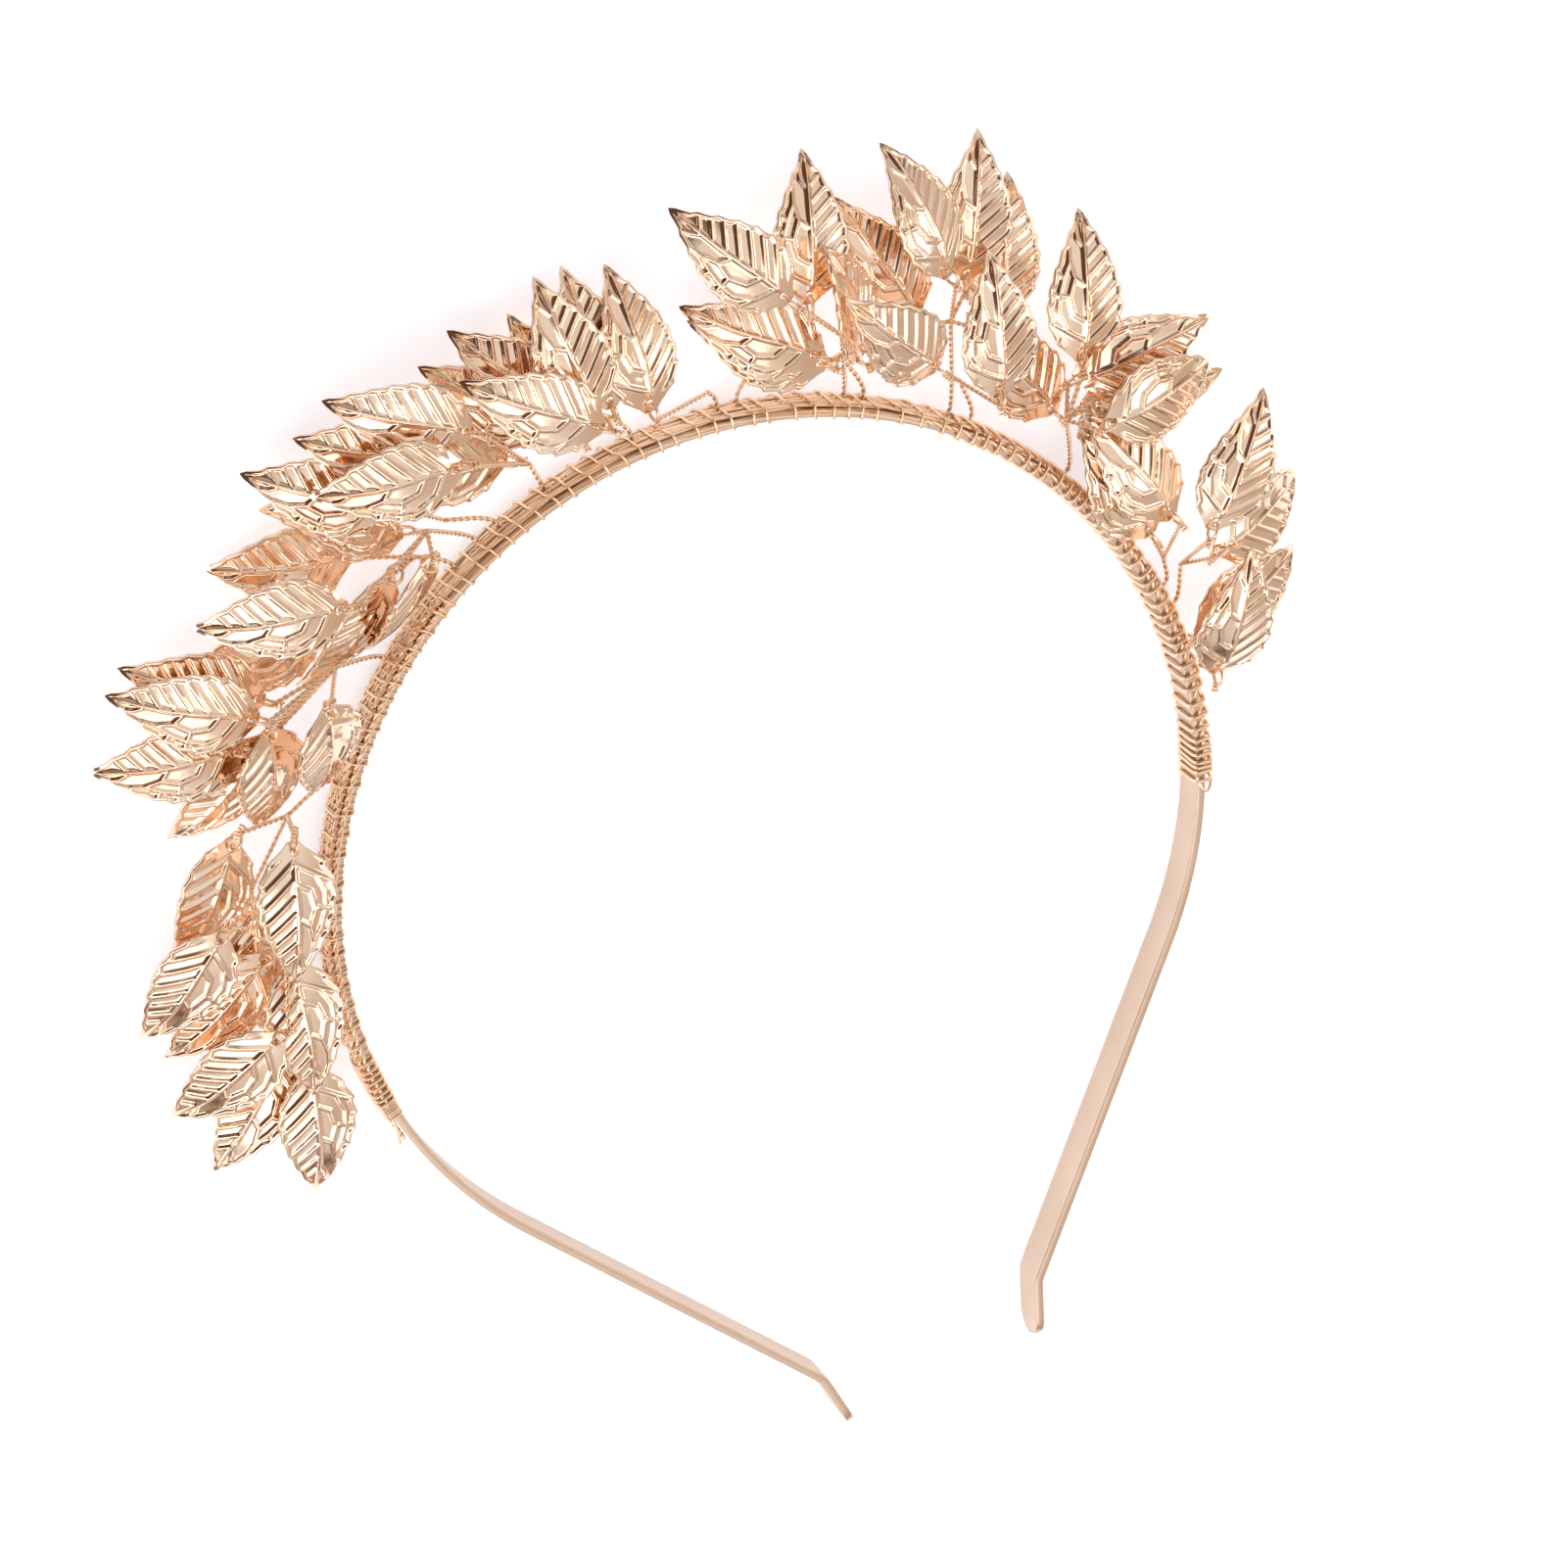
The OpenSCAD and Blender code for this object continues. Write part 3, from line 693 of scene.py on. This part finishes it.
def make_leaves(letter, template, material):
    """One spray's leaves, all of the same stamping."""
    soup = Soup()
    points, faces = template
    for row in LEAVES[letter]:
        turn, place = placed(row)
        soup.add(points @ turn.T + place, faces)
    soup.piece("foliage_" + letter, material, "leaves_" + letter)


def noise(tree, source, scale, detail):
    """Mottling of a size, as a value about a half."""
    node = tree.nodes.new("ShaderNodeTexNoise")
    node.inputs["Scale"].default_value = scale
    node.inputs["Detail"].default_value = detail
    tree.links.new(source, node.inputs["Vector"])
    return node.outputs["Fac"]


def mapped(tree, value, start=(0.0, 1.0), end=(0.0, 1.0), smooth=False):
    """A value carried from one range into another, evenly or smoothly."""
    node = tree.nodes.new("ShaderNodeMapRange")
    node.interpolation_type = "SMOOTHSTEP" if smooth else "LINEAR"
    for name, limit in zip(("From Min", "From Max", "To Min", "To Max"), start + end):
        node.inputs[name].default_value = limit
    tree.links.new(value, node.inputs["Value"])
    return node.outputs["Result"]


# sockets of a node that mixes colours: its share, its two colours and its result
SHARE, FIRST, SECOND, MIXED = 0, 6, 7, 2


def colour_mix(tree, share, first, second):
    """The mix of two colours by a share; the first may come from another node."""
    mix = tree.nodes.new("ShaderNodeMix")
    mix.data_type = "RGBA"
    tree.links.new(share, mix.inputs[SHARE])
    if isinstance(first, tuple):
        mix.inputs[FIRST].default_value = (*first, 1)
    else:
        tree.links.new(first, mix.inputs[FIRST])
    mix.inputs[SECOND].default_value = (*second, 1)
    return mix.outputs[MIXED]


# values of the broad mottling at which the tint is deep and pale; how much finer the grain
# of the gloss is, and the depth of its bumps in metres
TINT_RANGE = (0.35, 0.65)
GRAIN_RATIO, BUMP_DEPTH = 9, 0.0002


def metal(name, pale, deep, roughness, grain, bump):
    """A gold-coloured metal whose tint, gloss and surface vary a little."""
    material = bpy.data.materials.new(name)
    material.use_nodes = True
    tree = material.node_tree
    shader = tree.nodes["Principled BSDF"]
    shader.inputs["Metallic"].default_value = 1.0
    place = tree.nodes.new("ShaderNodeTexCoord").outputs["Object"]
    broad = noise(tree, place, scale=grain, detail=3.0)
    fine = noise(tree, place, scale=grain * GRAIN_RATIO, detail=2.0)
    tint = colour_mix(tree, mapped(tree, broad, start=TINT_RANGE), deep, pale)
    tree.links.new(tint, shader.inputs["Base Color"])
    tree.links.new(mapped(tree, fine, end=roughness), shader.inputs["Roughness"])
    lumps = tree.nodes.new("ShaderNodeBump")
    lumps.inputs["Strength"].default_value = bump
    lumps.inputs["Distance"].default_value = BUMP_DEPTH
    tree.links.new(fine, lumps.inputs["Height"])
    tree.links.new(lumps.outputs["Normal"], shader.inputs["Normal"])
    return material


leaf_metal = metal("leaf_gold", (0.965, 0.755, 0.58), (0.91, 0.65, 0.46), (0.07, 0.15),
                   grain=120.0, bump=0.08)
wire_metal = metal("wire_gold", (0.99, 0.77, 0.56), (0.96, 0.68, 0.45), (0.26, 0.40),
                   grain=260.0, bump=0.08)
band_metal = metal("band_gold", (0.73, 0.56, 0.425), (0.69, 0.52, 0.39), (0.30, 0.42),
                   grain=90.0, bump=0.10)

make_band(band_metal)
make_binding(wire_metal)
leaf = leaf_template()
for letter in STEMS:
    make_stems(letter, wire_metal)
    make_leaves(letter, leaf, leaf_metal)

# the table: half its side, then the colour and strength of a painted glow that it gives off
# though it is no lamp, which lightens the shadows round the crown
TABLE_HALF = 8.0
TABLE_PAINTED_GLOW, TABLE_PAINTED_GLOW_STRENGTH = (0.90, 0.93, 1.0), 0.56
# the tent's colour by the height of a direction: level or lower, straight up, and at
# heights between them
TENT_LOW, TENT_HIGH = (0.55, 0.50, 0.48), (1.0, 1.0, 1.0)
TENT_BANDS = ((0.20, (0.50, 0.40, 0.34)), (0.33, (0.16, 0.09, 0.06)),
              (0.44, (0.80, 0.77, 0.77)), (0.75, (1.0, 0.98, 0.98)))
# what shows in the metal beside the tent: direction, cosines at which it starts and at
# which it is full, and colour of a wall on the right, a bright lamp behind the tent, a
# dark corner on the left and a dark patch about the camera
TENT_PATCHES = (((0.80, -0.42, 0.42), (0.60, 0.88), (0.72, 0.61, 0.53)),
                ((-0.30, -0.35, 0.89), (0.91, 0.97), (2.3, 2.1, 2.2)),
                ((-0.62, 0.60, 0.50), (0.76, 0.87), (0.13, 0.07, 0.045)),
                ((-0.15, 0.55, 0.82), (0.94, 0.98), (0.26, 0.17, 0.12)))
TENT_STRENGTH = 0.86
# colour of both lamps
LAMP_COLOUR = (1.0, 0.99, 0.98)


def make_floor():
    """A plain pale table under the crown, with a painted glow that lightens its shadows."""
    mesh = bpy.data.meshes.new("table")
    corners = [(x * TABLE_HALF, y * TABLE_HALF, 0)
               for x, y in ((-1, -1), (1, -1), (1, 1), (-1, 1))]
    mesh.from_pydata(corners, [], [[0, 1, 2, 3]])
    material = bpy.data.materials.new("table_white")
    material.use_nodes = True
    tree = material.node_tree
    shader = tree.nodes["Principled BSDF"]
    shader.inputs["Roughness"].default_value = 0.9
    # painted glow: the table gives off light of its own, which lifts the shadows on it and
    # also lights the undersides of the leaves
    shader.inputs["Emission Color"].default_value = (*TABLE_PAINTED_GLOW, 1)
    shader.inputs["Emission Strength"].default_value = TABLE_PAINTED_GLOW_STRENGTH
    place = tree.nodes.new("ShaderNodeTexCoord").outputs["Object"]
    mottle = noise(tree, place, scale=3.0, detail=2.0)
    tint = colour_mix(tree, mottle, (0.89, 0.92, 0.97), (0.91, 0.94, 0.99))
    tree.links.new(tint, shader.inputs["Base Color"])
    mesh.materials.append(material)
    table = bpy.data.objects.new("table", mesh)
    bpy.context.scene.collection.objects.link(table)


def area_light(name, place, size, power):
    """A square lamp that shines on the crown."""
    data = bpy.data.lights.new(name, "AREA")
    data.shape = "RECTANGLE"
    data.size, data.size_y = size, size
    data.energy = power
    data.color = LAMP_COLOUR
    lamp = bpy.data.objects.new(name, data)
    lamp.location = place
    lamp.rotation_euler = (-Vector(place)).to_track_quat("-Z", "Y").to_euler()
    bpy.context.scene.collection.objects.link(lamp)


def make_world():
    """A light tent: pale all over, dark low down, with patches of the room beside it."""
    world = bpy.data.worlds.new("tent")
    bpy.context.scene.world = world
    world.use_nodes = True
    tree = world.node_tree
    background = tree.nodes["Background"]
    place = tree.nodes.new("ShaderNodeTexCoord").outputs["Generated"]
    split = tree.nodes.new("ShaderNodeSeparateXYZ")
    tree.links.new(place, split.inputs[0])
    ramp = tree.nodes.new("ShaderNodeValToRGB")
    stops = ramp.color_ramp.elements
    stops[0].color = (*TENT_LOW, 1)
    stops[1].color = (*TENT_HIGH, 1)
    for position, colour in TENT_BANDS:
        stops.new(position).color = (*colour, 1)
    tree.links.new(split.outputs["Z"], ramp.inputs["Fac"])
    light = ramp.outputs["Color"]
    for direction, cosines, colour in TENT_PATCHES:
        toward = tree.nodes.new("ShaderNodeVectorMath")
        toward.operation = "DOT_PRODUCT"
        toward.inputs[1].default_value = direction
        tree.links.new(place, toward.inputs[0])
        patch = mapped(tree, toward.outputs["Value"], start=cosines, smooth=True)
        light = colour_mix(tree, patch, light, colour)
    tree.links.new(light, background.inputs["Color"])
    background.inputs["Strength"].default_value = TENT_STRENGTH


make_floor()
make_world()
area_light("key", (-0.95, -0.25, 0.8), 0.6, 2.5)
area_light("fill", (0.8, -0.2, 0.8), 0.5, 1.5)

# the camera: its place, the point that it looks at, its roll in degrees and its lens,
# found from the photograph
CAMERA_PLACE = Vector((-0.2026, 0.4545, 0.8700))
CAMERA_AIM = Vector((0.00464, 0.00726, 0.008))
CAMERA_ROLL = 134.226
CAMERA_LENS, CAMERA_SENSOR = 169.63, 36.0


def make_camera():
    """The camera that takes the picture."""
    data = bpy.data.cameras.new("camera")
    data.lens, data.sensor_width = CAMERA_LENS, CAMERA_SENSOR
    data.clip_start, data.clip_end = 0.05, 10.0
    camera = bpy.data.objects.new("camera", data)
    bpy.context.scene.collection.objects.link(camera)
    back = (CAMERA_PLACE - CAMERA_AIM).normalized()
    level = Vector((0, 0, 1)).cross(back).normalized()
    above = back.cross(level)
    roll = math.radians(CAMERA_ROLL)
    right = math.cos(roll) * level + math.sin(roll) * above
    up = back.cross(right)
    turn = Matrix((right, up, back)).transposed().to_4x4()
    camera.matrix_world = Matrix.Translation(CAMERA_PLACE) @ turn
    bpy.context.scene.camera = camera


make_camera()
bpy.context.scene.view_settings.view_transform = "Standard"
